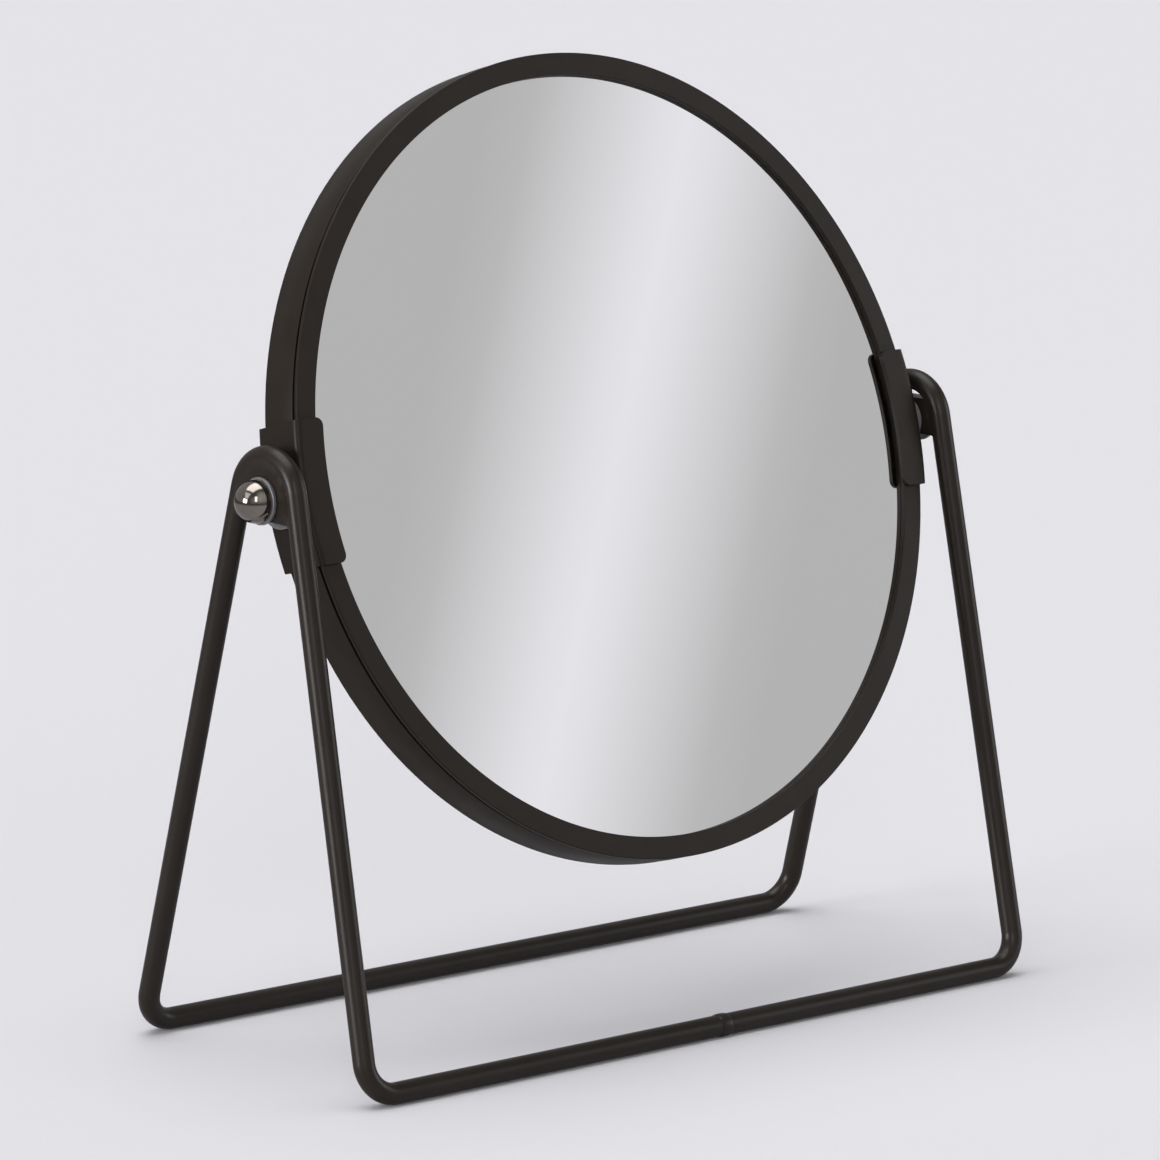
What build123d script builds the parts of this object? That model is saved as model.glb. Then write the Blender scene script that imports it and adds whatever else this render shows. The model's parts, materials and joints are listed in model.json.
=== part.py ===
"""Round double-sided shaving mirror that tilts in a stand bent from one loop of wire.

Frame: millimetres, +Z up, the user in front at -Y. The origin is on the table, under
the middle of the pivot axis, which runs along X. Two bodies: the stand, and the mirror
head, which turns about the pivot axis and is modelled leaning back by lean_angle.
"""

import os
from math import asin, atan2, cos, hypot, radians, sin, sqrt, tan

from build123d import *

# ---- Driving dimensions: stand -------------------------------------------------------
wire_diameter = 4.5
rail_half_depth = 36.2        # rail centreline to the pivot plane, along Y
foot_half_width = 91.7        # leg centreline where it would meet the rail, along X
pivot_half_width = 90.1       # leg centreline at the height of the pivot
pivot_height = 117.5
top_bend_radius = 8.7         # U-bend of a side frame, centred on the pivot axis
corner_bend_radius = 7.0      # bend between a leg and a rail
weld_offset = 4.0             # the weld sits a little right of the middle
weld_rise = 0.25              # how far the bead stands above the wire
weld_half_length = 1.5

plate_thickness = 3.9         # pivot plate welded inside each U-bend
plate_outer_face = 91.9       # along X, almost flush with the wire
# Trimmed by hand: the right plate is shorter and leaves a small gap under the bend.
plate_drop = {"left": 3.9, "right": 2.5}   # pivot axis to the lower edge
plate_rise = {"left": 8.7, "right": 5.2}   # pivot axis to the upper edge

# ---- Driving dimensions: mirror head -------------------------------------------------
lean_angle = 17.5             # how far the top leans back at rest
rim_radius = 85.0
rim_thickness = 10.8          # front face to rear face
opening_radius = 80.3         # visible glass
bezel_lip = 1.25              # bezel's thickness over the glass
bezel_edge = 1.0              # bezel's thickness at its outer edge
bezel_edge_round = 0.25
seam_gap = 1.0                # shadow groove between the front bezel and the band
skirt_outer_radius = 83.45
skirt_inner_radius = 82.15
skirt_depth = 4.3             # bezel's face to the end of its skirt
skirt_notch_radius = 3.8      # clearance in the skirts for a bolt head
band_inner_radius = 83.5
band_edge_radius = 84.65      # band's outside beside the seam
band_crown_radius = 85.05     # band's outside at mid width
band_rear_round = 0.4         # the band's rear edge, which also frames the rear bezel

glass_radius = 82.0
glass_thickness = 2.0
curve_radius = 1000.0         # rear glass: concave, magnifies about two times
card_thickness = 0.6
foam_inner_radius = 74.0
foam_outer_radius = 81.5
play = 0.05                   # assembly clearance between pieces of one body

# ---- Driving dimensions: pivots ------------------------------------------------------
clip_sheet = 1.0
clip_inner_radius = 85.15
clip_tab_radius = 79.3        # inner edge of the tabs that grip the bezels
clip_half_height = 14.8
clip_fold_round = 1.2
clip_corner_round = 2.0
clip_sweep = 24.0             # degrees of rim that the uncut clip spans

bolt_radius = 2.0             # M4
bolt_running_clearance = 0.05 # in the plate's bore and the other plain holes
bolt_fit_clearance = 0.02     # in the nut's thread
bolt_head_radius = 3.5
bolt_head_height = 1.1
bolt_head_seat = 83.4         # underside of the head, along X
bolt_end = 96.0
bolt_slot_width = 1.0
bolt_slot_depth = 0.5
washer_running_gap = 0.05     # between a plate and the washers on both sides of it
spacer_radius = {"left": 6.2, "right": 5.2}   # two sizes, as assembled
outer_washer_radius = 4.85
outer_washer_thickness = 0.8
washer_edge_round = 0.2
cap_radius = 4.4
cap_straight = 0.6            # cylindrical foot of the domed nut
cap_bore_end = 96.4

# ---- Values worked out from the driving dimensions -----------------------------------
wire_radius = wire_diameter / 2
rail_height = wire_radius

# Each leg is a tangent from the rail to the U-bend's circle around the pivot.
leg_rise = pivot_height - rail_height
pivot_distance = hypot(rail_half_depth, leg_rise)
leg_angle = atan2(rail_half_depth, leg_rise) - asin(top_bend_radius / pivot_distance)
apex_rise = rail_half_depth / tan(leg_angle)
lean_in = (foot_half_width - pivot_half_width) / leg_rise
apex_half_width = foot_half_width - lean_in * apex_rise
apex_height = rail_height + apex_rise

plate_inner_face = plate_outer_face - plate_thickness
clip_outer_radius = clip_inner_radius + clip_sheet
half_thickness = rim_thickness / 2
clip_half_depth = half_thickness + play + clip_sheet
spacer_inner_face = clip_outer_radius + play
spacer_outer_face = plate_inner_face - washer_running_gap
washer_inner_face = plate_outer_face + washer_running_gap
washer_outer_face = washer_inner_face + outer_washer_thickness
plate_bore_radius = bolt_radius + bolt_running_clearance

# The head's own frame: x to the right, y towards the rim's top, z out of the front glass.
lean = radians(lean_angle)
head = Plane(origin=(0, 0, pivot_height), x_dir=(1, 0, 0), z_dir=(0, -cos(lean), sin(lean)))
mirror_axis = Axis(head.origin, head.z_dir)
# Pivot pieces are turned about X: x is the distance from the middle, y the radius.
pivot_section = Plane(origin=head.origin, x_dir=(1, 0, 0), z_dir=(0, -1, 0))
pivot_axis = Axis(head.origin, (1, 0, 0))

SIDES = {"left": -1, "right": 1}
finished = {}


def finish(name, built):
    """Labels a finished piece and keeps it for export."""
    built.part.label = name
    finished[name] = built


# ---- Stand ---------------------------------------------------------------------------
# Half of the loop, from the middle of the front rail round the left side to the middle
# of the back rail, then its mirror image.
half_loop = [
    (0, -rail_half_depth, rail_height),
    (-foot_half_width, -rail_half_depth, rail_height),
    (-apex_half_width, 0, apex_height),
    (-foot_half_width, rail_half_depth, rail_height),
    (0, rail_half_depth, rail_height),
]
front_rail_middle = Plane(origin=half_loop[0], x_dir=(0, 1, 0), z_dir=(-1, 0, 0))
weld_middle = (weld_offset, -rail_half_depth, rail_height)
bead_section = Plane(origin=weld_middle, x_dir=(1, 0, 0), z_dir=(0, -1, 0))
with BuildPart() as wire_stand:
    with BuildLine():
        FilletPolyline(*half_loop, radius=[corner_bend_radius, top_bend_radius, corner_bend_radius])
    with BuildSketch(front_rail_middle):
        Circle(wire_radius)
    sweep()
    mirror(about=Plane.YZ)
    # The weld that closes the loop, ground flush underneath.
    with BuildSketch(bead_section):
        with BuildLine():
            ThreePointArc(
                (-weld_half_length, wire_radius),
                (0, wire_radius + weld_rise),
                (weld_half_length, wire_radius),
            )
            Polyline(
                (weld_half_length, wire_radius), (weld_half_length, 0), (-weld_half_length, 0),
                (-weld_half_length, wire_radius),
            )
        make_face()
    revolve(axis=Axis(weld_middle, (1, 0, 0)))
    with Locations((weld_offset, -rail_half_depth, 0)):
        Box(
            4 * weld_half_length, wire_diameter, wire_radius,
            align=(Align.CENTER, Align.CENTER, Align.MAX), mode=Mode.SUBTRACT,
        )
finish("wire_stand", wire_stand)


def pivot_plate(side, drop, rise):
    """The plate that closes a U-bend and carries the pivot bore, shaped to the round wire."""
    edge_at_bottom = top_bend_radius / cos(leg_angle) + drop * tan(leg_angle)
    tangent_y = top_bend_radius * cos(leg_angle)
    tangent_z = top_bend_radius * sin(leg_angle)
    inner_face = Plane(
        origin=(side * plate_inner_face, 0, pivot_height), x_dir=(0, side, 0), z_dir=(side, 0, 0)
    )
    with BuildPart() as plate:
        with BuildSketch(inner_face):
            with BuildLine():
                ThreePointArc((-tangent_y, tangent_z), (0, top_bend_radius), (tangent_y, tangent_z))
                Polyline(
                    (tangent_y, tangent_z), (edge_at_bottom, -drop), (-edge_at_bottom, -drop),
                    (-tangent_y, tangent_z),
                )
            make_face()
            Circle(plate_bore_radius, mode=Mode.SUBTRACT)
            with Locations((0, rise)):
                Rectangle(
                    3 * top_bend_radius, top_bend_radius,
                    align=(Align.CENTER, Align.MIN), mode=Mode.SUBTRACT,
                )
        extrude(amount=plate_thickness)
        add(wire_stand.part, mode=Mode.SUBTRACT)
    return plate


for side_name, side in SIDES.items():
    plate = pivot_plate(side, plate_drop[side_name], plate_rise[side_name])
    finish(f"pivot_plate_{side_name}", plate)


# ---- Rim: two bezels and the band between them ---------------------------------------
def ring_section(angle=0.0):
    """A half plane through the mirror's axis: x is the radius, y the height above mid thickness."""
    outward = head.x_dir * cos(radians(angle)) + head.y_dir * sin(radians(angle))
    return Plane(origin=head.origin, x_dir=outward, z_dir=outward.cross(head.z_dir))


def drill_along_pivot(radius, length):
    """Cuts a round hole along the pivot axis, centred on the head."""
    with Locations(head.origin):
        Cylinder(radius, length, rotation=(0, 90, 0), mode=Mode.SUBTRACT)


def bezel(outline, painted_corners):
    """The ring that holds a glass: a flat face, and a skirt that plugs into the band."""
    with BuildPart() as ring:
        with BuildSketch(ring_section()) as section:
            with BuildLine():
                Polyline(*outline, close=True)
            make_face()
            fillet(painted_corners(section.vertices()), bezel_edge_round)
        revolve(axis=mirror_axis)
        drill_along_pivot(skirt_notch_radius, 2 * rim_radius)
    return ring


# The front bezel overhangs the band and leaves the seam; the rear one lies inside the band.
front_outline = [
    (opening_radius, half_thickness),
    (rim_radius, half_thickness),
    (rim_radius, half_thickness - bezel_edge),
    (skirt_outer_radius, half_thickness - bezel_edge),
    (skirt_outer_radius, half_thickness - skirt_depth),
    (skirt_inner_radius, half_thickness - skirt_depth),
    (skirt_inner_radius, half_thickness - bezel_lip),
    (opening_radius, half_thickness - bezel_lip),
]
rear_outline = [
    (opening_radius, -half_thickness),
    (skirt_outer_radius, -half_thickness),
    (skirt_outer_radius, skirt_depth - half_thickness),
    (skirt_inner_radius, skirt_depth - half_thickness),
    (skirt_inner_radius, bezel_lip - half_thickness),
    (opening_radius, bezel_lip - half_thickness),
]
finish("front_bezel", bezel(front_outline, lambda corners: corners.group_by(Axis.X)[-1]))
finish(
    "rear_bezel",
    bezel(rear_outline, lambda corners: corners.group_by(Axis.X)[-1].sort_by(Axis.Y)[:1]),
)

seam_edge = half_thickness - bezel_edge - seam_gap
with BuildPart() as rim_band:
    with BuildSketch(ring_section()) as band_section:
        with BuildLine():
            ThreePointArc(
                (band_edge_radius, seam_edge),
                (band_crown_radius, (seam_edge - half_thickness) / 2),
                (rim_radius, -half_thickness),
            )
            Polyline(
                (rim_radius, -half_thickness),
                (band_inner_radius, -half_thickness),
                (band_inner_radius, seam_edge),
                (band_edge_radius, seam_edge),
            )
        make_face()
        rear_corners = band_section.vertices().group_by(Axis.Y)[0].sort_by(Axis.X)
        fillet(rear_corners[-1], band_rear_round)
        fillet(rear_corners[0], bezel_edge_round)
    revolve(axis=mirror_axis)
    drill_along_pivot(plate_bore_radius, 3 * rim_radius)
finish("rim_band", rim_band)

# ---- Glasses and what packs the space between them -----------------------------------
glass_face = half_thickness - bezel_lip - play
glass_back = glass_face - glass_thickness


def dish(radius):
    """How far the concave glass lies below its own edge at this radius."""
    return sqrt(curve_radius**2 - radius**2) - sqrt(curve_radius**2 - glass_radius**2)


with BuildPart() as front_glass:
    with BuildSketch(head.offset(glass_back)):
        Circle(glass_radius)
    extrude(amount=glass_thickness)
finish("front_glass", front_glass)

with BuildPart() as rear_glass:
    with BuildSketch(ring_section()):
        with BuildLine():
            mid_radius = glass_radius / 2
            for height in (-glass_face, -glass_back):
                ThreePointArc(
                    (0, height + dish(0)),
                    (mid_radius, height + dish(mid_radius)),
                    (glass_radius, height),
                )
            Line((0, dish(0) - glass_face), (0, dish(0) - glass_back))
            Line((glass_radius, -glass_face), (glass_radius, -glass_back))
        make_face()
    revolve(axis=mirror_axis)
finish("rear_glass", rear_glass)

card_face = glass_back - play
with BuildPart() as backing_card:
    with BuildSketch(head.offset(card_face - card_thickness)):
        Circle(foam_outer_radius)
    extrude(amount=card_thickness)
finish("backing_card", backing_card)

foam_top = card_face - card_thickness - play
with BuildPart() as foam_ring:
    with BuildSketch(ring_section()):
        with BuildLine():
            Polyline(
                (foam_inner_radius, foam_top),
                (foam_outer_radius, foam_top),
                (foam_outer_radius, dish(foam_outer_radius) - glass_back + play),
                (foam_inner_radius, dish(foam_inner_radius) - glass_back + play),
                close=True,
            )
        make_face()
    revolve(axis=mirror_axis)
finish("foam_ring", foam_ring)


# ---- Clips: curved channels that grip the rim at both pivots -------------------------
def clip(middle_angle):
    """A U-channel of sheet, bent along the rim, its two tabs over the two bezels."""
    wall_inside = clip_half_depth - clip_sheet
    with BuildPart() as channel:
        with BuildSketch(ring_section(middle_angle - clip_sweep / 2)) as section:
            with BuildLine():
                Polyline(
                    (clip_tab_radius, clip_half_depth),
                    (clip_outer_radius, clip_half_depth),
                    (clip_outer_radius, -clip_half_depth),
                    (clip_tab_radius, -clip_half_depth),
                    (clip_tab_radius, -wall_inside),
                    (clip_inner_radius, -wall_inside),
                    (clip_inner_radius, wall_inside),
                    (clip_tab_radius, wall_inside),
                    close=True,
                )
            make_face()
            fillet(section.vertices().group_by(Axis.X)[-1], clip_fold_round)
        revolve(axis=mirror_axis, revolution_arc=clip_sweep)
        with Locations(head):
            Box(3 * rim_radius, 2 * clip_half_height, 2 * rim_thickness, mode=Mode.INTERSECT)
        tab_corners = channel.edges().filter_by(mirror_axis).filter_by(
            lambda edge: (edge.center() - head.origin).length < rim_radius - clip_corner_round
        )
        fillet(tab_corners, clip_corner_round)
        drill_along_pivot(plate_bore_radius, 3 * rim_radius)
    return channel


# ---- Pivots: bolt, washers and domed nut on each side --------------------------------
def washer(side, near, far, outer_radius):
    """A flat washer on the bolt, from near to far along X."""
    with BuildPart() as ring:
        with BuildSketch(Plane(origin=(side * near, 0, pivot_height), z_dir=(side, 0, 0))):
            Circle(outer_radius)
            Circle(plate_bore_radius, mode=Mode.SUBTRACT)
        extrude(amount=far - near)
        fillet(ring.edges().filter_by(GeomType.CIRCLE).group_by(SortBy.RADIUS)[-1], washer_edge_round)
    return ring


def pivot_bolt(side):
    """A slotted flat-head bolt put in from inside the rim before the glasses."""
    head_inside = bolt_head_seat - bolt_head_height
    outline = [
        (head_inside, 0),
        (head_inside, bolt_head_radius),
        (bolt_head_seat, bolt_head_radius),
        (bolt_head_seat, bolt_radius),
        (bolt_end, bolt_radius),
        (bolt_end, 0),
    ]
    with BuildPart() as bolt:
        with BuildSketch(pivot_section):
            with BuildLine():
                Polyline(*[(side * x, radius) for x, radius in outline], close=True)
            make_face()
        revolve(axis=pivot_axis)
        with Locations((side * head_inside, 0, pivot_height)):
            Box(2 * bolt_slot_depth, 3 * bolt_head_radius, bolt_slot_width, mode=Mode.SUBTRACT)
    return bolt


def cap_nut(side):
    """A domed nut with a blind bore, its foot against the outer washer."""
    foot = washer_outer_face + play
    crown = foot + cap_straight
    diagonal = cap_radius * sqrt(0.5)
    with BuildPart() as nut:
        with BuildSketch(pivot_section):
            with BuildLine():
                Polyline((side * (crown + cap_radius), 0), (side * foot, 0), (side * foot, cap_radius),
                         (side * crown, cap_radius))
                ThreePointArc(
                    (side * crown, cap_radius),
                    (side * (crown + diagonal), diagonal),
                    (side * (crown + cap_radius), 0),
                )
            make_face()
        revolve(axis=pivot_axis)
        with BuildSketch(Plane(origin=(side * foot, 0, pivot_height), z_dir=(side, 0, 0))):
            Circle(bolt_radius + bolt_fit_clearance)
        extrude(amount=cap_bore_end - foot, mode=Mode.SUBTRACT)
    return nut


for side_name, side in SIDES.items():
    spacer = washer(side, spacer_inner_face, spacer_outer_face, spacer_radius[side_name])
    outer_washer = washer(side, washer_inner_face, washer_outer_face, outer_washer_radius)
    finish(f"clip_{side_name}", clip(90 - 90 * side))
    finish(f"pivot_bolt_{side_name}", pivot_bolt(side))
    finish(f"spacer_washer_{side_name}", spacer)
    finish(f"outer_washer_{side_name}", outer_washer)
    finish(f"cap_nut_{side_name}", cap_nut(side))

# ---- Export --------------------------------------------------------------------------
os.makedirs("parts", exist_ok=True)
for name, built in finished.items():
    export_step(built.part, f"parts/{name}.step")
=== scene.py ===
"""Looks for the round shaving mirror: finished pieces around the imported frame, and a plain studio."""

import json
from math import acos, asin, atan2, cos, hypot, pi, radians, sin, sqrt, tan

import bmesh
import bpy
from mathutils import Matrix, Vector, noise


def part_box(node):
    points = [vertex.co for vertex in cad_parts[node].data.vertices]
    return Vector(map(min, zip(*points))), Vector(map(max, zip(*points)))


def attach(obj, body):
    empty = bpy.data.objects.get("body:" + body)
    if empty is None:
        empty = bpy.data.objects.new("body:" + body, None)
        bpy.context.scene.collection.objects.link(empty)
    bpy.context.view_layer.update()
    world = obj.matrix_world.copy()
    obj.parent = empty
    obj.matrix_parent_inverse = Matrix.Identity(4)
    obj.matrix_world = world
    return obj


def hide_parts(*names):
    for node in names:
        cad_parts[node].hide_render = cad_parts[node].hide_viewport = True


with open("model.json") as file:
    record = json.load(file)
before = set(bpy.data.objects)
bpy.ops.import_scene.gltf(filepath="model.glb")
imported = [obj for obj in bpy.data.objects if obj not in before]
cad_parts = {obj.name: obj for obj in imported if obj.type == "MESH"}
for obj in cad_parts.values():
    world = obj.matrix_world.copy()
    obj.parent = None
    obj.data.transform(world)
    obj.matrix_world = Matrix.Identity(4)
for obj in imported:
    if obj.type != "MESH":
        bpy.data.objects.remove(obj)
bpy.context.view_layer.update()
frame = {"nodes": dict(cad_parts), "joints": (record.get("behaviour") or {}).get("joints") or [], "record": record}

MM = 0.001
SIDES = {"left": -1, "right": 1}

# ---- Driving dimensions, in millimetres unless they say otherwise --------------------
lean = radians(17.5)          # how far the top leans back at rest

rim_thickness = 10.8          # front face to rear face
opening_radius = 80.3
bezel_lip = 1.25              # bezel's thickness over the glass
bezel_edge = 1.0              # bezel's thickness at its outer edge
skirt_outer_radius = 83.45
skirt_inner_radius = 82.15
skirt_stop = 0.35             # skirt's length below the lip, clear of the bolts
edge_round = 0.22             # painted edges
face_round = 0.12             # the bezel's edge over the glass
hidden_round = 0.1            # edges inside the rim

clip_sheet = 1.0
clip_gap = 0.05               # between a clip and the bezels it grips
clip_inner_radius = 85.15
clip_tab_radius = 79.3
clip_half_height = 14.8
clip_fold_round = 1.2
clip_corner_round = 2.0
cut_edge_round = 0.14         # burr-free edges of the clip's sheet

seam_gap = 1.0                # shadow groove between the front bezel and the band
band_inner_radius = 83.5
band_edge_radius = 84.65
band_crown_radius = 85.05
band_crown_share = 0.94       # share of the band's width before its rear round
band_edge_round = 0.15
band_rear_round = 0.4

glass_radius = 82.0
glass_thickness = 2.0
glass_play = 0.05
curve_radius = 1000.0         # the rear glass is concave

wire_radius = 2.25
rail_half_depth = 36.2        # rail centreline to the pivot plane
foot_half_width = 91.7        # leg centreline where it would meet the rail
pivot_half_width = 90.1       # leg centreline at the height of the pivot
top_bend_radius = 8.7         # U-bend's centreline, centred on the pivot
corner_bend_radius = 7.0      # bend between a leg and a rail
bend_steps = 48
wire_round_steps = 48
bead_offset = 4.0             # the loop's own weld, right of the middle of the front rail
bead_rise = 0.25
bead_half_length = 1.5
bead_ripple = 0.25            # share of the rise that comes and goes
bead_waves = 2.5              # ripples per millimetre, roughly
bead_steps = 32

plate_play = 0.5              # a plate this near the wire all round counts as filling the U
plate_gap_reach = 1.3         # from the U's centreline to where a short plate's weld stops
weld_leg = 0.9                # reach of the weld fillet over the plate's face
weld_toe_angle = radians(14)  # where the fillet begins on the wire, from the X direction
weld_belly = 0.08             # how full the fillet is, over the plate's face
weld_ripple = 0.16            # share of the leg that comes and goes
weld_waves = 0.9              # ripples per millimetre, roughly
weld_end_share = 0.15         # share of the leg left at the weld's ends
weld_end_columns = 3          # columns over which the leg grows from there
weld_column = 0.35            # length of one column along the weld
weld_rows = 7

cap_radius = 4.4
cap_straight = 0.6
cap_foot_round = 0.15

# ---- Places read from the frame ------------------------------------------------------
pivot = Vector(frame["joints"][0]["pos_m"])
head_out = Vector((0, -cos(lean), sin(lean)))    # out of the front glass
head_up = Vector((0, sin(lean), cos(lean)))      # towards the rim's top
across = Vector((1, 0, 0))
rim_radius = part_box("front_bezel")[1].x / MM
half_thickness = rim_thickness / 2
lean_in = (foot_half_width - pivot_half_width) / (pivot.z / MM - wire_radius)


# ---- Mesh helpers --------------------------------------------------------------------
merge_distance = 1e-7         # vertices nearer than this are one, in metres


def rounded(corners, steps=5):
    """Closed outline from (x, y, radius) corners, with round corners as arcs."""
    points = []
    count = len(corners)
    for i, (x, y, radius) in enumerate(corners):
        corner = Vector((x, y))
        before = (Vector(corners[i - 1][:2]) - corner).normalized()
        after = (Vector(corners[(i + 1) % count][:2]) - corner).normalized()
        if radius == 0:
            points.append(corner)
            continue
        half_angle = acos(max(-1, min(1, before.dot(after)))) / 2
        start = corner + before * radius / tan(half_angle)
        end = corner + after * radius / tan(half_angle)
        centre = corner + (before + after).normalized() * radius / sin(half_angle)
        first, last = start - centre, end - centre
        sweep = first.angle_signed(last)
        for k in range(steps + 1):
            turn = Matrix.Rotation(-sweep * k / steps, 2)
            points.append(centre + turn @ first)
    return points


def mesh_object(name, vertices, faces, sharp_angle=40):
    """A mesh object with consistent outward faces, smooth up to sharp_angle."""
    mesh = bpy.data.meshes.new(name)
    mesh.from_pydata(vertices, [], faces)
    work = bmesh.new()
    work.from_mesh(mesh)
    bmesh.ops.remove_doubles(work, verts=work.verts, dist=merge_distance)
    bmesh.ops.recalc_face_normals(work, faces=work.faces)
    work.to_mesh(mesh)
    work.free()
    mesh.shade_smooth()
    mesh.set_sharp_from_angle(angle=radians(sharp_angle))
    made = bpy.data.objects.new(name, mesh)
    bpy.context.scene.collection.objects.link(made)
    weigh = made.modifiers.new("weigh", "WEIGHTED_NORMAL")
    weigh.keep_sharp = True
    return made


def lathe(name, outline, centre, axis, start, count):
    """Revolves a closed (radius, height) outline in millimetres about an axis."""
    side = axis.cross(start)
    vertices = []
    for k in range(count):
        angle = 2 * pi * k / count
        outward = start * cos(angle) + side * sin(angle)
        for radius, height in outline:
            vertices.append(centre + (outward * radius + axis * height) * MM)
    size = len(outline)
    faces = []
    for k in range(count):
        a, b = k * size, (k + 1) % count * size
        for i in range(size):
            j = (i + 1) % size
            faces.append((a + i, b + i, b + j, a + j))
    return mesh_object(name, vertices, faces)


def solid_lathe(name, outline, centre, axis, start, count):
    """Revolves an open (radius, height) outline that begins and ends on the axis."""
    side = axis.cross(start)
    vertices = [centre + axis * outline[0][1] * MM]
    inner = outline[1:-1]
    for k in range(count):
        angle = 2 * pi * k / count
        outward = start * cos(angle) + side * sin(angle)
        for radius, height in inner:
            vertices.append(centre + (outward * radius + axis * height) * MM)
    vertices.append(centre + axis * outline[-1][1] * MM)
    size, last = len(inner), len(vertices) - 1
    faces = []
    for k in range(count):
        a, b = 1 + k * size, 1 + (k + 1) % count * size
        faces.append((0, b, a))
        faces.append((last, a + size - 1, b + size - 1))
        for i in range(size - 1):
            faces.append((a + i, b + i, b + i + 1, a + i + 1))
    return mesh_object(name, vertices, faces)


# ---- Materials -----------------------------------------------------------------------
def node_material(name):
    """An empty node material: returns (material, nodes, links, principled shader)."""
    material = bpy.data.materials.new(name)
    material.use_nodes = True
    nodes, links = material.node_tree.nodes, material.node_tree.links
    return material, nodes, links, nodes["Principled BSDF"]


def object_noise(nodes, links, scale, detail, stretch=(1, 1, 1)):
    """Noise in the piece's own coordinates, in features per metre."""
    place = nodes.new("ShaderNodeTexCoord")
    mapping = nodes.new("ShaderNodeMapping")
    mapping.inputs["Scale"].default_value = stretch
    texture = nodes.new("ShaderNodeTexNoise")
    texture.inputs["Scale"].default_value = scale
    texture.inputs["Detail"].default_value = detail
    texture.inputs["Roughness"].default_value = 0.55
    links.new(place.outputs["Object"], mapping.inputs["Vector"])
    links.new(mapping.outputs["Vector"], texture.inputs["Vector"])
    return texture.outputs["Fac"]


def ramp(nodes, links, source, stops):
    """Colour ramp: stops are (position, (r, g, b)) or (position, value), the outer two first."""
    made = nodes.new("ShaderNodeValToRGB")
    links.new(source, made.inputs["Fac"])
    elements = made.color_ramp.elements
    for element, (position, value) in zip(elements, stops):
        element.position = position
        colour = value if isinstance(value, tuple) else (value, value, value)
        element.color = (*colour, 1)
    for position, value in stops[2:]:
        colour = value if isinstance(value, tuple) else (value, value, value)
        elements.new(position).color = (*colour, 1)
    return made.outputs["Color"]


def bump(nodes, links, shader, height, distance, strength):
    """Feeds a height into the shader's normal; distance is in metres."""
    made = nodes.new("ShaderNodeBump")
    made.inputs["Strength"].default_value = strength
    made.inputs["Distance"].default_value = distance
    links.new(height, made.inputs["Height"])
    links.new(made.outputs["Normal"], shader.inputs["Normal"])


def powder_coat(name, dark, light, rough_low, rough_high, gloss):
    """Satin black-brown powder coat: fine orange peel, faint mottling, softly uneven sheen."""
    material, nodes, links, shader = node_material(name)
    mottling = object_noise(nodes, links, scale=140, detail=4)
    tone = ramp(nodes, links, mottling, [(0.3, dark), (0.7, light)])
    links.new(tone, shader.inputs["Base Color"])
    sheen = object_noise(nodes, links, scale=55, detail=3)
    roughness = ramp(nodes, links, sheen, [(0.3, rough_low), (0.7, rough_high)])
    links.new(roughness, shader.inputs["Roughness"])
    peel = object_noise(nodes, links, scale=1500, detail=2)
    bump(nodes, links, shader, peel, distance=0.00002, strength=0.6)
    shader.inputs["IOR"].default_value = 1.5
    shader.inputs["Specular IOR Level"].default_value = gloss
    return material


def mirror_silver(name):
    """Silvered glass: nearly perfect, with a very faint haze and cloudiness."""
    material, nodes, links, shader = node_material(name)
    cloud = object_noise(nodes, links, scale=12, detail=1)
    tone = ramp(nodes, links, cloud, [(0.3, (0.907, 0.906, 0.908)), (0.7, (0.917, 0.916, 0.918))])
    links.new(tone, shader.inputs["Base Color"])
    shader.inputs["Metallic"].default_value = 1.0
    haze = object_noise(nodes, links, scale=30, detail=2)
    roughness = ramp(nodes, links, haze, [(0.3, 0.012), (0.7, 0.022)])
    links.new(roughness, shader.inputs["Roughness"])
    return material


def polished_chrome(name):
    """Bright chrome with hairline polishing marks."""
    material, nodes, links, shader = node_material(name)
    cloud = object_noise(nodes, links, scale=400, detail=2)
    tone = ramp(nodes, links, cloud, [(0.35, (0.30, 0.27, 0.24)), (0.65, (0.36, 0.325, 0.29))])
    links.new(tone, shader.inputs["Base Color"])
    shader.inputs["Metallic"].default_value = 1.0
    marks = object_noise(nodes, links, scale=900, detail=3, stretch=(1, 1, 6))
    roughness = ramp(nodes, links, marks, [(0.3, 0.05), (0.75, 0.11)])
    links.new(roughness, shader.inputs["Roughness"])
    return material


def satin_steel(name, dark, light, metallic=1.0):
    """Zinc-plated steel with fine turning marks round the hole."""
    material, nodes, links, shader = node_material(name)
    mottling = object_noise(nodes, links, scale=700, detail=4)
    tone = ramp(nodes, links, mottling, [(0.3, dark), (0.7, light)])
    links.new(tone, shader.inputs["Base Color"])
    shader.inputs["Metallic"].default_value = metallic
    wear = object_noise(nodes, links, scale=250, detail=3)
    roughness = ramp(nodes, links, wear, [(0.3, 0.28), (0.7, 0.42)])
    links.new(roughness, shader.inputs["Roughness"])
    grain = object_noise(nodes, links, scale=2500, detail=2, stretch=(4, 1, 1))
    bump(nodes, links, shader, grain, distance=0.00001, strength=0.5)
    return material


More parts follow.
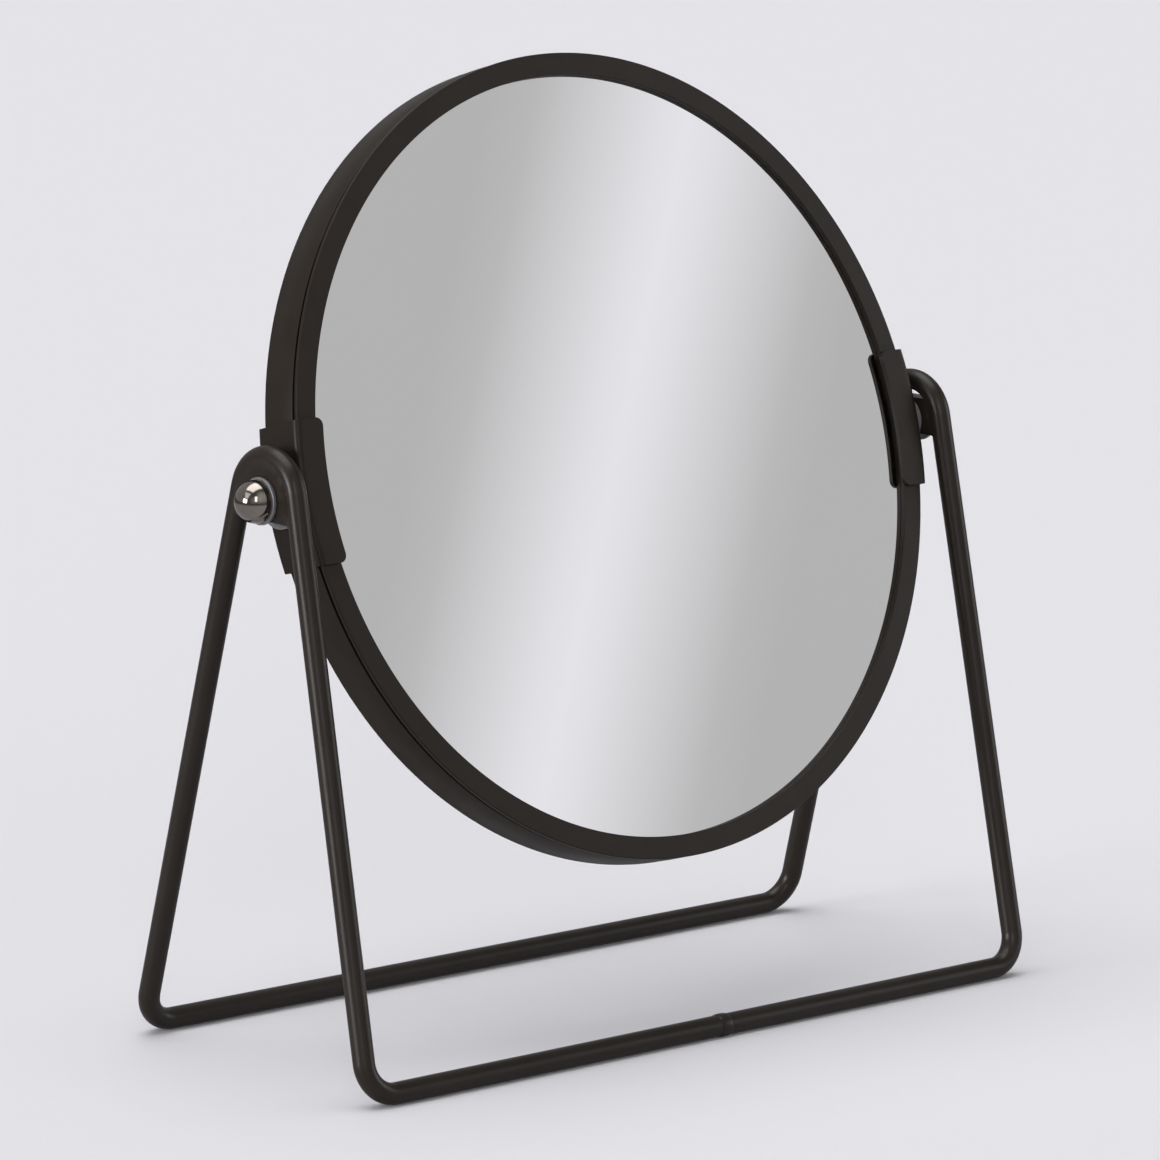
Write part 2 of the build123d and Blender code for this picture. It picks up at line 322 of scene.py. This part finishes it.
def plain_soft(name, dark, light, scale, rough, depth):
    """Card, foam or nylon: a mottled matt surface with a fine grain."""
    material, nodes, links, shader = node_material(name)
    mottling = object_noise(nodes, links, scale, detail=4)
    tone = ramp(nodes, links, mottling, [(0.3, dark), (0.7, light)])
    links.new(tone, shader.inputs["Base Color"])
    roughness = ramp(nodes, links, mottling, [(0.3, rough), (0.7, min(1.0, rough + 0.12))])
    links.new(roughness, shader.inputs["Roughness"])
    grain = object_noise(nodes, links, scale * 4, detail=3)
    bump(nodes, links, shader, grain, distance=depth, strength=0.6)
    return material


FINISHES = {
    "stand_paint": powder_coat(
        "stand_paint", (0.0165, 0.0120, 0.0090), (0.0205, 0.0150, 0.0115), 0.31, 0.38, 0.34
    ),
    "rim_paint": powder_coat(
        "rim_paint", (0.0130, 0.0086, 0.0056), (0.0165, 0.0110, 0.0073), 0.36, 0.44, 0.27
    ),
    "mirror_glass": mirror_silver("mirror_glass"),
    "chrome": polished_chrome("chrome"),
    "bolt_steel": satin_steel("bolt_steel", (0.50, 0.49, 0.46), (0.62, 0.61, 0.58)),
    "washer_steel": satin_steel("washer_steel", (0.18, 0.18, 0.19), (0.23, 0.23, 0.24), 0.3),
    "nylon": plain_soft("nylon", (0.14, 0.14, 0.145), (0.19, 0.19, 0.195), 900, 0.45, 0.00001),
    "card": plain_soft("card", (0.36, 0.30, 0.21), (0.45, 0.38, 0.28), 600, 0.8, 0.00004),
    "foam": plain_soft("foam", (0.02, 0.02, 0.02), (0.05, 0.05, 0.05), 1800, 0.85, 0.0001),
}
SLOT_OF = {part["node"]: part["material_slot"] for part in frame["record"]["subparts"]}


def paint(piece, slot):
    """Gives a piece the finish of one material slot."""
    piece.data.materials.clear()
    piece.data.materials.append(FINISHES[slot])


def settle(piece, body, *nodes):
    """Paints a finished piece, ties it to its body and lets it stand for CAD nodes."""
    slot = SLOT_OF[nodes[0]]
    paint(piece, slot)
    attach(piece, body)
    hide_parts(*nodes)
    return piece


for node_name, node in frame["nodes"].items():
    for material_slot in node.material_slots:
        material_slot.material = FINISHES[SLOT_OF[node_name]]


# ---- Rim -----------------------------------------------------------------------------
def ring_piece(name, node, corners):
    """A painted ring about the mirror's axis from (radius, height, corner radius) corners."""
    ring = lathe(name, rounded(corners), pivot, head_out, across, count=360)
    return settle(ring, "mirror_head", node)


lip_back = half_thickness - bezel_lip
edge_back = half_thickness - bezel_edge
skirt_end = lip_back - skirt_stop
ring_piece("bezel_ring_front", "front_bezel", [
    (opening_radius, half_thickness, face_round),
    (rim_radius, half_thickness, edge_round),
    (rim_radius, edge_back, edge_round),
    (skirt_outer_radius, edge_back, 0),
    (skirt_outer_radius, skirt_end, hidden_round),
    (skirt_inner_radius, skirt_end, hidden_round),
    (skirt_inner_radius, lip_back, 0),
    (opening_radius, lip_back, hidden_round),
])
ring_piece("bezel_ring_rear", "rear_bezel", [
    (opening_radius, -half_thickness, face_round),
    (skirt_outer_radius, -half_thickness, edge_round),
    (skirt_outer_radius, -skirt_end, hidden_round),
    (skirt_inner_radius, -skirt_end, hidden_round),
    (skirt_inner_radius, -lip_back, 0),
    (opening_radius, -lip_back, hidden_round),
])


def side_band(name, node):
    """The slightly crowned side wall: eased beside the front seam, rounded at the rear."""
    front = edge_back - seam_gap
    rear = -half_thickness
    crown = band_crown_radius - band_edge_radius
    flare = rim_radius - band_edge_radius
    steps = 12
    corners = [(band_inner_radius, front, 0), (band_edge_radius, front, band_edge_round)]
    for k in range(1, steps):
        share = k / steps
        bulge = crown * sin(pi * share) + flare * share * (1 - sin(pi * share))
        height = front + (rear - front) * share * band_crown_share
        corners.append((band_edge_radius + bulge, height, 0))
    corners += [(rim_radius, rear, band_rear_round), (band_inner_radius, rear, edge_round)]
    return ring_piece(name, node, corners)


side_band("side_band", "rim_band")


# ---- Rear glass ----------------------------------------------------------------------
def dish(radius):
    """How far the concave glass lies below its own edge at this radius."""
    return sqrt(curve_radius**2 - radius**2) - sqrt(curve_radius**2 - glass_radius**2)


def magnifying_glass(name, node):
    """The concave silvered glass, ground smoothly."""
    face = -(half_thickness - bezel_lip - glass_play)
    steps = 48
    radii = [glass_radius * k / steps for k in range(steps + 1)]
    outline = [(radius, face + dish(radius)) for radius in radii]
    outline += [(radius, face + glass_thickness + dish(radius)) for radius in reversed(radii)]
    glass = solid_lathe(name, outline, pivot, head_out, across, count=180)
    return settle(glass, "mirror_head", node)


magnifying_glass("magnifying_glass", "rear_glass")


# ---- Clips ---------------------------------------------------------------------------
def clip_outline(offset):
    """One side of the clip's bent sheet as (radius, height) points, tab edge to tab edge."""
    face = half_thickness + clip_gap + clip_sheet
    wall = clip_inner_radius + clip_sheet
    fold = clip_fold_round - offset
    tab_steps, corner_steps, fold_steps, wall_steps = 6, 8, 8, 10
    half = []
    flat_start = clip_tab_radius + clip_corner_round
    fold_centre = (wall - clip_fold_round, face - clip_fold_round)
    for k in range(corner_steps):
        rounding = 1 - cos(pi / 2 * k / corner_steps)
        half.append((clip_tab_radius + clip_corner_round * rounding, face - offset))
    for k in range(tab_steps):
        half.append((flat_start + (fold_centre[0] - flat_start) * k / tab_steps, face - offset))
    for k in range(fold_steps + 1):
        angle = pi / 2 * (1 - k / fold_steps)
        half.append((fold_centre[0] + fold * cos(angle), fold_centre[1] + fold * sin(angle)))
    middle = [
        (wall - offset, fold_centre[1] * (1 - 2 * k / wall_steps)) for k in range(1, wall_steps)
    ]
    return half + middle + [(radius, -height) for radius, height in reversed(half)]


def clip_reach(radius):
    """Half the clip's height at this radius: smaller in the tabs' round corners."""
    depth = clip_tab_radius + clip_corner_round - radius
    if depth <= 0:
        return clip_half_height
    return clip_half_height - clip_corner_round + sqrt(max(0, clip_corner_round**2 - depth**2))


def clip(name, node, side):
    """A U-channel of painted sheet bent round the rim, with softened cut edges."""
    outer, inner = clip_outline(0), clip_outline(clip_sheet)
    columns = 24
    vertices, size = [], len(outer)
    for surface in (outer, inner):
        for k in range(columns + 1):
            for i, (radius, height) in enumerate(surface):
                reach = clip_reach(outer[i][0])
                angle = asin(reach / outer[i][0]) * (2 * k / columns - 1)
                outward = across * side * cos(angle) + head_up * sin(angle)
                vertices.append(pivot + (outward * radius + head_out * height) * MM)
    inside = (columns + 1) * size
    faces = []
    for k in range(columns):
        for i in range(size - 1):
            a, b = k * size + i, (k + 1) * size + i
            faces.append((a, b, b + 1, a + 1))
            faces.append((inside + a, inside + a + 1, inside + b + 1, inside + b))
    for k in range(columns):
        for i in (0, size - 1):
            a, b = k * size + i, (k + 1) * size + i
            faces.append((a, inside + a, inside + b, b))
    for k in (0, columns):
        for i in range(size - 1):
            a = k * size + i
            faces.append((a, a + 1, inside + a + 1, inside + a))
    made = mesh_object(name, vertices, faces)
    soften(made, cut_edge_round)
    return settle(made, "mirror_head", node)


def soften(piece, radius):
    """Rounds a piece's sharp edges by a radius in millimetres."""
    bevel = piece.modifiers.new("soften", "BEVEL")
    bevel.width = radius * MM
    bevel.segments = 3
    bevel.limit_method = "ANGLE"
    bevel.angle_limit = radians(50)
    piece.modifiers.move(piece.modifiers.find("soften"), 0)
    piece.data.shade_smooth()


# ---- Domed nuts ----------------------------------------------------------------------
def domed_nut(name, node, side):
    """A polished dome on a short straight foot with a softened rim."""
    low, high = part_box(node)
    foot = min(abs(low.x), abs(high.x)) / MM
    crown = foot + cap_straight
    foot_steps, dome_steps = 4, 40
    outline = [(0, foot), (cap_radius - cap_foot_round, foot)]
    for k in range(1, foot_steps + 1):
        angle = pi / 2 * k / foot_steps
        radius = cap_radius - cap_foot_round * (1 - sin(angle))
        outline.append((radius, foot + cap_foot_round * (1 - cos(angle))))
    for k in range(dome_steps + 1):
        angle = pi / 2 * k / dome_steps
        outline.append((cap_radius * cos(angle), crown + cap_radius * sin(angle)))
    middle = Vector((0, pivot.y, pivot.z))
    nut = solid_lathe(name, outline, middle, across * side, Vector((0, 0, 1)), count=128)
    return settle(nut, "mirror_head", node)


for side_name, side in SIDES.items():
    clip(f"rim_clip_{side_name}", f"clip_{side_name}", side)
    domed_nut(f"domed_nut_{side_name}", f"cap_nut_{side_name}", side)


# ---- Wire ----------------------------------------------------------------------------
pivot_rise = pivot.z / MM - wire_radius
pivot_distance = hypot(rail_half_depth, pivot_rise)
leg_angle = atan2(rail_half_depth, pivot_rise) - asin(top_bend_radius / pivot_distance)
apex_rise = rail_half_depth / tan(leg_angle)


def bend(before, corner, after, radius):
    """Points of the round bend at one corner of a bent wire."""
    back, ahead = (before - corner).normalized(), (after - corner).normalized()
    half_angle = back.angle(ahead) / 2
    start = corner + back * radius / tan(half_angle)
    end = corner + ahead * radius / tan(half_angle)
    centre = corner + (back + ahead).normalized() * radius / sin(half_angle)
    first, last = start - centre, end - centre
    turn = first.rotation_difference(last)
    axis, sweep = turn.to_axis_angle()
    return [
        centre + Matrix.Rotation(sweep * k / bend_steps, 3, axis) @ first
        for k in range(bend_steps + 1)
    ]


def wire_loop(name, node):
    """The stand's one closed loop of wire, with the bead of the weld that closes it."""
    corners, radii = [], []
    for side in (-1, 1):
        apex = Vector((side * (foot_half_width - lean_in * apex_rise), 0, wire_radius + apex_rise))
        front = Vector((side * foot_half_width, -rail_half_depth, wire_radius))
        rear = Vector((side * foot_half_width, rail_half_depth, wire_radius))
        corners += [front, apex, rear] if side < 0 else [rear, apex, front]
        radii += [corner_bend_radius, top_bend_radius, corner_bend_radius]
    path = []
    for i, corner in enumerate(corners):
        path += bend(corners[i - 1], corner, corners[(i + 1) % len(corners)], radii[i])
    for k in range(bead_steps + 1):
        x = bead_offset + bead_half_length * (1 - 2 * k / bead_steps)
        path.append(Vector((x, -rail_half_depth, wire_radius)))
    count = len(path)
    tangents = [(path[(i + 1) % count] - path[i - 1]).normalized() for i in range(count)]
    frames = [Vector((0, 1, 0))]
    for i in range(1, count + 1):
        turn = tangents[i - 1].rotation_difference(tangents[i % count])
        frames.append(turn @ frames[-1])
    handedness = 1 if frames[count].cross(frames[0]).dot(tangents[0]) > 0 else -1
    twist = frames[count].angle(frames[0]) * handedness
    vertices = []
    for i, middle in enumerate(path):
        reach = abs(middle.x - bead_offset) / bead_half_length
        radius = wire_radius
        if i >= count - bead_steps - 1:
            ripple = 1 - bead_ripple * abs(noise.noise(Vector((middle.x * bead_waves, 0, 0))))
            radius += bead_rise * ripple * sqrt(max(0, 1 - reach**2))
        level = Matrix.Rotation(twist * i / count, 3, tangents[i]) @ frames[i]
        upright = tangents[i].cross(level)
        for k in range(wire_round_steps):
            angle = 2 * pi * k / wire_round_steps
            spot = middle + (level * cos(angle) + upright * sin(angle)) * radius
            spot.z = max(0, spot.z)
            vertices.append(spot * MM)
    faces = []
    for i in range(count):
        a, b = i * wire_round_steps, (i + 1) % count * wire_round_steps
        for k in range(wire_round_steps):
            j = (k + 1) % wire_round_steps
            faces.append((a + k, a + j, b + j, b + k))
    return settle(mesh_object(name, vertices, faces, sharp_angle=80), "stand", node)


wire_loop("wire_loop", "wire_stand")


# ---- Welds between the plates and the wire -------------------------------------------
def wire_middle(side, along_u):
    """A point on the U-bend's centreline and the way to its inside.

    along_u is the distance from the top in millimetres, negative towards the front.
    """
    quarter = (pi / 2 - leg_angle) * top_bend_radius
    way = 1 if along_u > 0 else -1
    reach = abs(along_u)
    turn = min(reach, quarter) / top_bend_radius
    straight = max(0, reach - quarter)
    outward = Vector((0, way * sin(turn), cos(turn)))
    down = Vector((0, way * cos(turn), -sin(turn)))
    middle = Vector((0, 0, pivot.z / MM)) + outward * top_bend_radius + down * straight
    middle.x = side * (foot_half_width - lean_in * (middle.z - wire_radius))
    return middle, -outward


def weld(name, side, face, start, end):
    """A painted weld fillet along the U, filling the corner between wire and plate face.

    face is the plate face's distance from the middle along X; start and end are places
    along the U. The section is a curve from the wire to the plate, closed by a hidden point.
    """
    columns = max(12, round(abs(end - start) / weld_column))
    vertices = []
    for k in range(columns + 1):
        place = start + (end - start) * k / columns
        middle, inward = wire_middle(side, place)
        level = side * (face - side * middle.x)
        away = 1 if level * side > 0 else -1
        height = abs(level)
        own_ripple = Vector((place * weld_waves, face, side * 7))
        ripple = 1 + weld_ripple * noise.noise(own_ripple)
        fade = min(1, weld_end_share + min(k, columns - k) / weld_end_columns)
        top = Vector((wire_radius * cos(weld_toe_angle), wire_radius * sin(weld_toe_angle)))
        foot = Vector((height, sqrt(wire_radius**2 - height**2) + weld_leg * ripple * fade))
        hidden = Vector((height * 0.6, wire_radius * 0.55))
        control = Vector((height + weld_belly, foot.y * 0.55))
        section = []
        for r in range(weld_rows):
            t = r / (weld_rows - 1)
            section.append(top * (1 - t) ** 2 + control * 2 * t * (1 - t) + foot * t**2)
        section.append(hidden)
        for x, inside in section:
            vertices.append((middle + across * side * away * x + inward * inside) * MM)
    size = weld_rows + 1
    faces = []
    for k in range(columns):
        for i in range(size):
            j = (i + 1) % size
            a, b = k * size, (k + 1) * size
            faces.append((a + i, b + i, b + j, a + j))
    faces.append(tuple(range(size)))
    faces.append(tuple(columns * size + i for i in range(size)))
    made = mesh_object(name, vertices, faces, sharp_angle=60)
    paint(made, "stand_paint")
    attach(made, "stand")
    return made


for side_name, side in SIDES.items():
    plate_low, plate_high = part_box(f"pivot_plate_{side_name}")
    faces_at = sorted((abs(plate_low.x) / MM, abs(plate_high.x) / MM))
    lowest = (pivot.z - plate_low.z) / MM
    quarter = (pi / 2 - leg_angle) * top_bend_radius
    bottom = quarter + lowest / cos(leg_angle) + top_bend_radius * tan(leg_angle)
    highest = (plate_high.z - pivot.z) / MM
    full = highest > top_bend_radius - wire_radius - plate_play
    gap = 0 if full else acos(highest / (top_bend_radius - plate_gap_reach)) * top_bend_radius
    for face_name, face in zip(("inner", "outer"), faces_at):
        if full:
            weld(f"weld_{side_name}_{face_name}", side, face, -bottom, bottom)
            continue
        weld(f"weld_{side_name}_{face_name}_front", side, face, -bottom, -gap)
        weld(f"weld_{side_name}_{face_name}_rear", side, face, gap, bottom)


# ---- Camera --------------------------------------------------------------------------
camera_place = Vector((-873.4, -964.6, 341.5)) * MM
camera_azimuth = radians(41.959)
camera_elevation = radians(10.884)
camera_roll = radians(1.462)
forward = Vector((
    sin(camera_azimuth) * cos(camera_elevation),
    cos(camera_azimuth) * cos(camera_elevation),
    -sin(camera_elevation),
))
level_right = Vector((cos(camera_azimuth), -sin(camera_azimuth), 0))
level_up = level_right.cross(forward)
camera_right = level_right * cos(camera_roll) + level_up * sin(camera_roll)
camera_up = level_up * cos(camera_roll) - level_right * sin(camera_roll)

camera_data = bpy.data.cameras.new("camera")
camera_data.sensor_width = 36
camera_data.lens = 196.19
camera_data.clip_start = 0.05
camera_data.clip_end = 100
camera = bpy.data.objects.new("camera", camera_data)
bpy.context.scene.collection.objects.link(camera)
camera.matrix_world = Matrix((
    (camera_right.x, camera_up.x, -forward.x, camera_place.x),
    (camera_right.y, camera_up.y, -forward.y, camera_place.y),
    (camera_right.z, camera_up.z, -forward.z, camera_place.z),
    (0, 0, 0, 1),
))
bpy.context.scene.camera = camera


# ---- Studio --------------------------------------------------------------------------
def stage_disc(name, radius, height, rings=24, count=96):
    """A flat round floor in rings."""
    outline = [radius * k / rings for k in range(1, rings + 1)]
    vertices = [Vector((0, 0, height))]
    for ring_radius in outline:
        for k in range(count):
            angle = 2 * pi * k / count
            vertices.append(Vector((ring_radius * cos(angle), ring_radius * sin(angle), height)))
    faces = [(0, 1 + k, 1 + (k + 1) % count) for k in range(count)]
    for r in range(rings - 1):
        a, b = 1 + r * count, 1 + (r + 1) * count
        faces += [(a + k, b + k, b + (k + 1) % count, a + (k + 1) % count) for k in range(count)]
    mesh = bpy.data.meshes.new(name)
    mesh.from_pydata(vertices, [], faces)
    made = bpy.data.objects.new(name, mesh)
    bpy.context.scene.collection.objects.link(made)
    return made


# Studio values: radiances are linear, and (227, 226, 231) is the pale lilac-grey backdrop.
backdrop_colour = (0.768, 0.761, 0.799)
floor_albedo = (0.800, 0.793, 0.832)
floor_radius = 14.0           # metres
surround = 0.13               # grey surroundings of the table, as reflections see them
floor_grey = 0.13             # the far floor, as reflections see it
table_radius = 0.45           # the table stays pale in reflections as far as this, in metres
near_grey = 0.55              # how grey the table is in reflections nearer than that
lowest_rise = 0.02            # the strips' tangents take a direction's rise as at least this


def math_node(nodes, links, operation, *values, clamp=False):
    """A Math node from numbers and sockets."""
    made = nodes.new("ShaderNodeMath")
    made.operation = operation
    made.use_clamp = clamp
    for socket, value in zip(made.inputs, values):
        if isinstance(value, (int, float)):
            socket.default_value = value
        else:
            links.new(value, socket)
    return made.outputs["Value"]


def smooth_step(nodes, links, value, low, high):
    """0 below low, 1 above high, smooth between."""
    made = nodes.new("ShaderNodeMapRange")
    made.interpolation_type = "SMOOTHSTEP"
    made.inputs["From Min"].default_value = low
    made.inputs["From Max"].default_value = high
    links.new(value, made.inputs["Value"])
    return made.outputs["Result"]


floor = stage_disc("floor", floor_radius, 0.0)
floor_material, floor_nodes, floor_links, floor_shader = node_material("floor")
floor_shader.inputs["Base Color"].default_value = (*floor_albedo, 1)
floor_shader.inputs["Roughness"].default_value = 0.9
floor_shader.inputs["Specular IOR Level"].default_value = 0.0
floor.data.materials.append(floor_material)
# Painted reflection: reflections see the table as pale near the object and as the grey surroundings further out.
# Glossy rays get a grey glow mixed in where the floor's own pale shade would be, part of it near the object and
# all of it further out.
floor_place = floor_nodes.new("ShaderNodeTexCoord")
floor_reach = floor_nodes.new("ShaderNodeVectorMath")
floor_reach.operation = "LENGTH"
floor_links.new(floor_place.outputs["Object"], floor_reach.inputs[0])
beyond = smooth_step(
    floor_nodes, floor_links, floor_reach.outputs["Value"], table_radius, 2 * table_radius
)
glossy = floor_nodes.new("ShaderNodeLightPath").outputs["Is Glossy Ray"]
greying = math_node(floor_nodes, floor_links, "MULTIPLY_ADD", beyond, 1 - near_grey, near_grey)
greyed = math_node(floor_nodes, floor_links, "MULTIPLY", greying, glossy)
grey_glow = floor_nodes.new("ShaderNodeEmission")
grey_glow.inputs["Color"].default_value = (floor_grey, floor_grey, floor_grey, 1)
floor_mix = floor_nodes.new("ShaderNodeMixShader")
floor_links.new(greyed, floor_mix.inputs["Fac"])
floor_links.new(floor_shader.outputs["BSDF"], floor_mix.inputs[1])
floor_links.new(grey_glow.outputs["Emission"], floor_mix.inputs[2])
floor_links.new(floor_mix.outputs["Shader"], floor_nodes["Material Output"].inputs["Surface"])

world = bpy.data.worlds.new("studio")
bpy.context.scene.world = world
world.use_nodes = True
sky, sky_links = world.node_tree.nodes, world.node_tree.links
look = sky.new("ShaderNodeTexCoord").outputs["Generated"]


def along(direction):
    """How far the look direction goes along a unit direction."""
    made = sky.new("ShaderNodeVectorMath")
    made.operation = "DOT_PRODUCT"
    made.inputs[1].default_value = direction
    sky_links.new(look, made.inputs[0])
    return made.outputs["Value"]


def sky_box(direction, half_width, half_height, edge, strength):
    """A far soft box round a direction: half sizes and soft edge are tangents of angles."""
    forth = Vector(direction).normalized()
    sideways = forth.cross(Vector((0, 0, 1))).normalized()
    upwards = sideways.cross(forth)
    depth = math_node(sky, sky_links, "MAXIMUM", along(forth), 1e-4)
    level = strength
    for axis, half_size in ((sideways, half_width), (upwards, half_height)):
        offset = math_node(sky, sky_links, "DIVIDE", along(axis), depth)
        distance = math_node(sky, sky_links, "ABSOLUTE", offset)
        inside = math_node(
            sky, sky_links, "SUBTRACT", 1,
            smooth_step(sky, sky_links, distance, half_size - edge, half_size + edge),
        )
        level = math_node(sky, sky_links, "MULTIPLY", inside, level)
    return level


rise = math_node(sky, sky_links, "MAXIMUM", along((0, 0, 1)), lowest_rise)
across_up = math_node(sky, sky_links, "DIVIDE", along((1, 0, 0)), rise)
back_up = math_node(sky, sky_links, "DIVIDE", along((0, 1, 0)), rise)


def overhead_strip(left, right, front, back, edge, strength):
    """A soft strip over the table: its limits are tangents from straight up."""
    level = strength
    for value, low, high in ((across_up, left, right), (back_up, front, back)):
        reached = smooth_step(sky, sky_links, value, low - edge, low + edge)
        level = math_node(sky, sky_links, "MULTIPLY", level, reached)
        past = smooth_step(sky, sky_links, value, high - edge, high + edge)
        within = math_node(sky, sky_links, "SUBTRACT", 1, past)
        level = math_node(sky, sky_links, "MULTIPLY", level, within)
    return level


def sky_glow(direction, low, high, strength):
    """A wide soft glow round a direction: low and high are cosines of angles from it."""
    share = smooth_step(sky, sky_links, along(direction), low, high)
    return math_node(sky, sky_links, "MULTIPLY", share, strength)


glow_behind = sky_glow((0.2, 0.98, 0), 0.05, 0.45, 0.20)
glow_in_front = sky_glow((0, -0.85, 0.53), 0.80, 1.0, 0.40)
strip_above = overhead_strip(-0.60, 0.40, -0.25, 0.60, 0.12, 2.72)
strip_left = overhead_strip(-2.6, -0.9, -0.20, 0.6, 0.15, 1.2)
low_box_left = sky_box((-0.97, 0.16, 0.12), 0.18, 0.16, 0.05, 15.0)
box_right = sky_box((0.86, -0.47, 0.22), 0.22, 0.22, 0.10, 2.5)
window_by_camera = sky_box((-0.62, -0.78, 0.42), 0.11, 0.24, 0.02, 3.2)
fill_by_camera = sky_box((-0.62, -0.78, 0.26), 0.50, 0.30, 0.25, 0.22)
total = glow_behind
for layer in (
    glow_in_front, surround, strip_above, strip_left,
    low_box_left, box_right, window_by_camera, fill_by_camera,
):
    total = math_node(sky, sky_links, "ADD", total, layer)
lighting = sky["Background"]
sky_links.new(total, lighting.inputs["Strength"])
lighting.inputs["Color"].default_value = (1, 1, 1, 1)
plain = sky.new("ShaderNodeBackground")
plain.inputs["Color"].default_value = (*backdrop_colour, 1)
seen_directly = sky.new("ShaderNodeLightPath").outputs["Is Camera Ray"]
sky_mix = sky.new("ShaderNodeMixShader")
sky_links.new(seen_directly, sky_mix.inputs["Fac"])
sky_links.new(lighting.outputs["Background"], sky_mix.inputs[1])
sky_links.new(plain.outputs["Background"], sky_mix.inputs[2])
sky_links.new(sky_mix.outputs["Shader"], sky["World Output"].inputs["Surface"])

# The grey card with a lit band that the front glass reflects.
card_distance = 2.5           # metres
card_half = 0.42              # metres
card_grey = 0.49
band_tilt = radians(-34.3)
band_half_width = 0.120       # metres
band_peak = 0.37              # over the card's grey
band_tint = (0.990, 0.982, 1.030)
band_profile = [(0.0, 0.0), (1.0, 1.0), (0.22, 0.10), (0.50, 0.47), (0.85, 0.90)]
glass_low, glass_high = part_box("front_glass")
glass_middle = (glass_low + glass_high) / 2
sight = (glass_middle - camera_place).normalized()
bounce = sight - 2 * sight.dot(head_out) * head_out
card_right = bounce.cross(Vector((0, 0, 1))).normalized()
card_up = card_right.cross(bounce)
band_along = card_up * cos(band_tilt) + card_right * sin(band_tilt)
band_across = card_right * cos(band_tilt) - card_up * sin(band_tilt)
card_mesh = bpy.data.meshes.new("grey_card")
card_mesh.from_pydata(
    [(x * card_half, y * card_half, 0) for x, y in ((-1, -1), (1, -1), (1, 1), (-1, 1))],
    [], [(0, 1, 2, 3)],
)
grey_card = bpy.data.objects.new("grey_card", card_mesh)
bpy.context.scene.collection.objects.link(grey_card)
facing = band_across.cross(band_along)
grey_card.matrix_world = Matrix.Translation(glass_middle + bounce * card_distance) @ Matrix((
    (band_across.x, band_along.x, facing.x, 0),
    (band_across.y, band_along.y, facing.y, 0),
    (band_across.z, band_along.z, facing.z, 0),
    (0, 0, 0, 1),
))
card_material = bpy.data.materials.new("grey_card")
card_material.use_nodes = True
card_nodes, card_links = card_material.node_tree.nodes, card_material.node_tree.links
card_nodes.clear()
card_split = card_nodes.new("ShaderNodeSeparateXYZ")
card_links.new(card_nodes.new("ShaderNodeTexCoord").outputs["Object"], card_split.inputs["Vector"])
off_band = math_node(card_nodes, card_links, "ABSOLUTE", card_split.outputs["X"])
nearness = math_node(
    card_nodes, card_links, "MULTIPLY_ADD", off_band, -1 / band_half_width, 1.0, clamp=True
)
band_light = ramp(card_nodes, card_links, nearness, band_profile)
card_light = math_node(card_nodes, card_links, "MULTIPLY_ADD", band_light, band_peak, card_grey)
card_glow = card_nodes.new("ShaderNodeEmission")
card_links.new(card_light, card_glow.inputs["Strength"])
card_tint = ramp(card_nodes, card_links, nearness, [(0.0, (1.0, 1.0, 1.0)), (1.0, band_tint)])
card_links.new(card_tint, card_glow.inputs["Color"])
card_output = card_nodes.new("ShaderNodeOutputMaterial")
card_links.new(card_glow.outputs["Emission"], card_output.inputs["Surface"])
card_mesh.materials.append(card_material)

bpy.context.scene.view_settings.view_transform = "Standard"
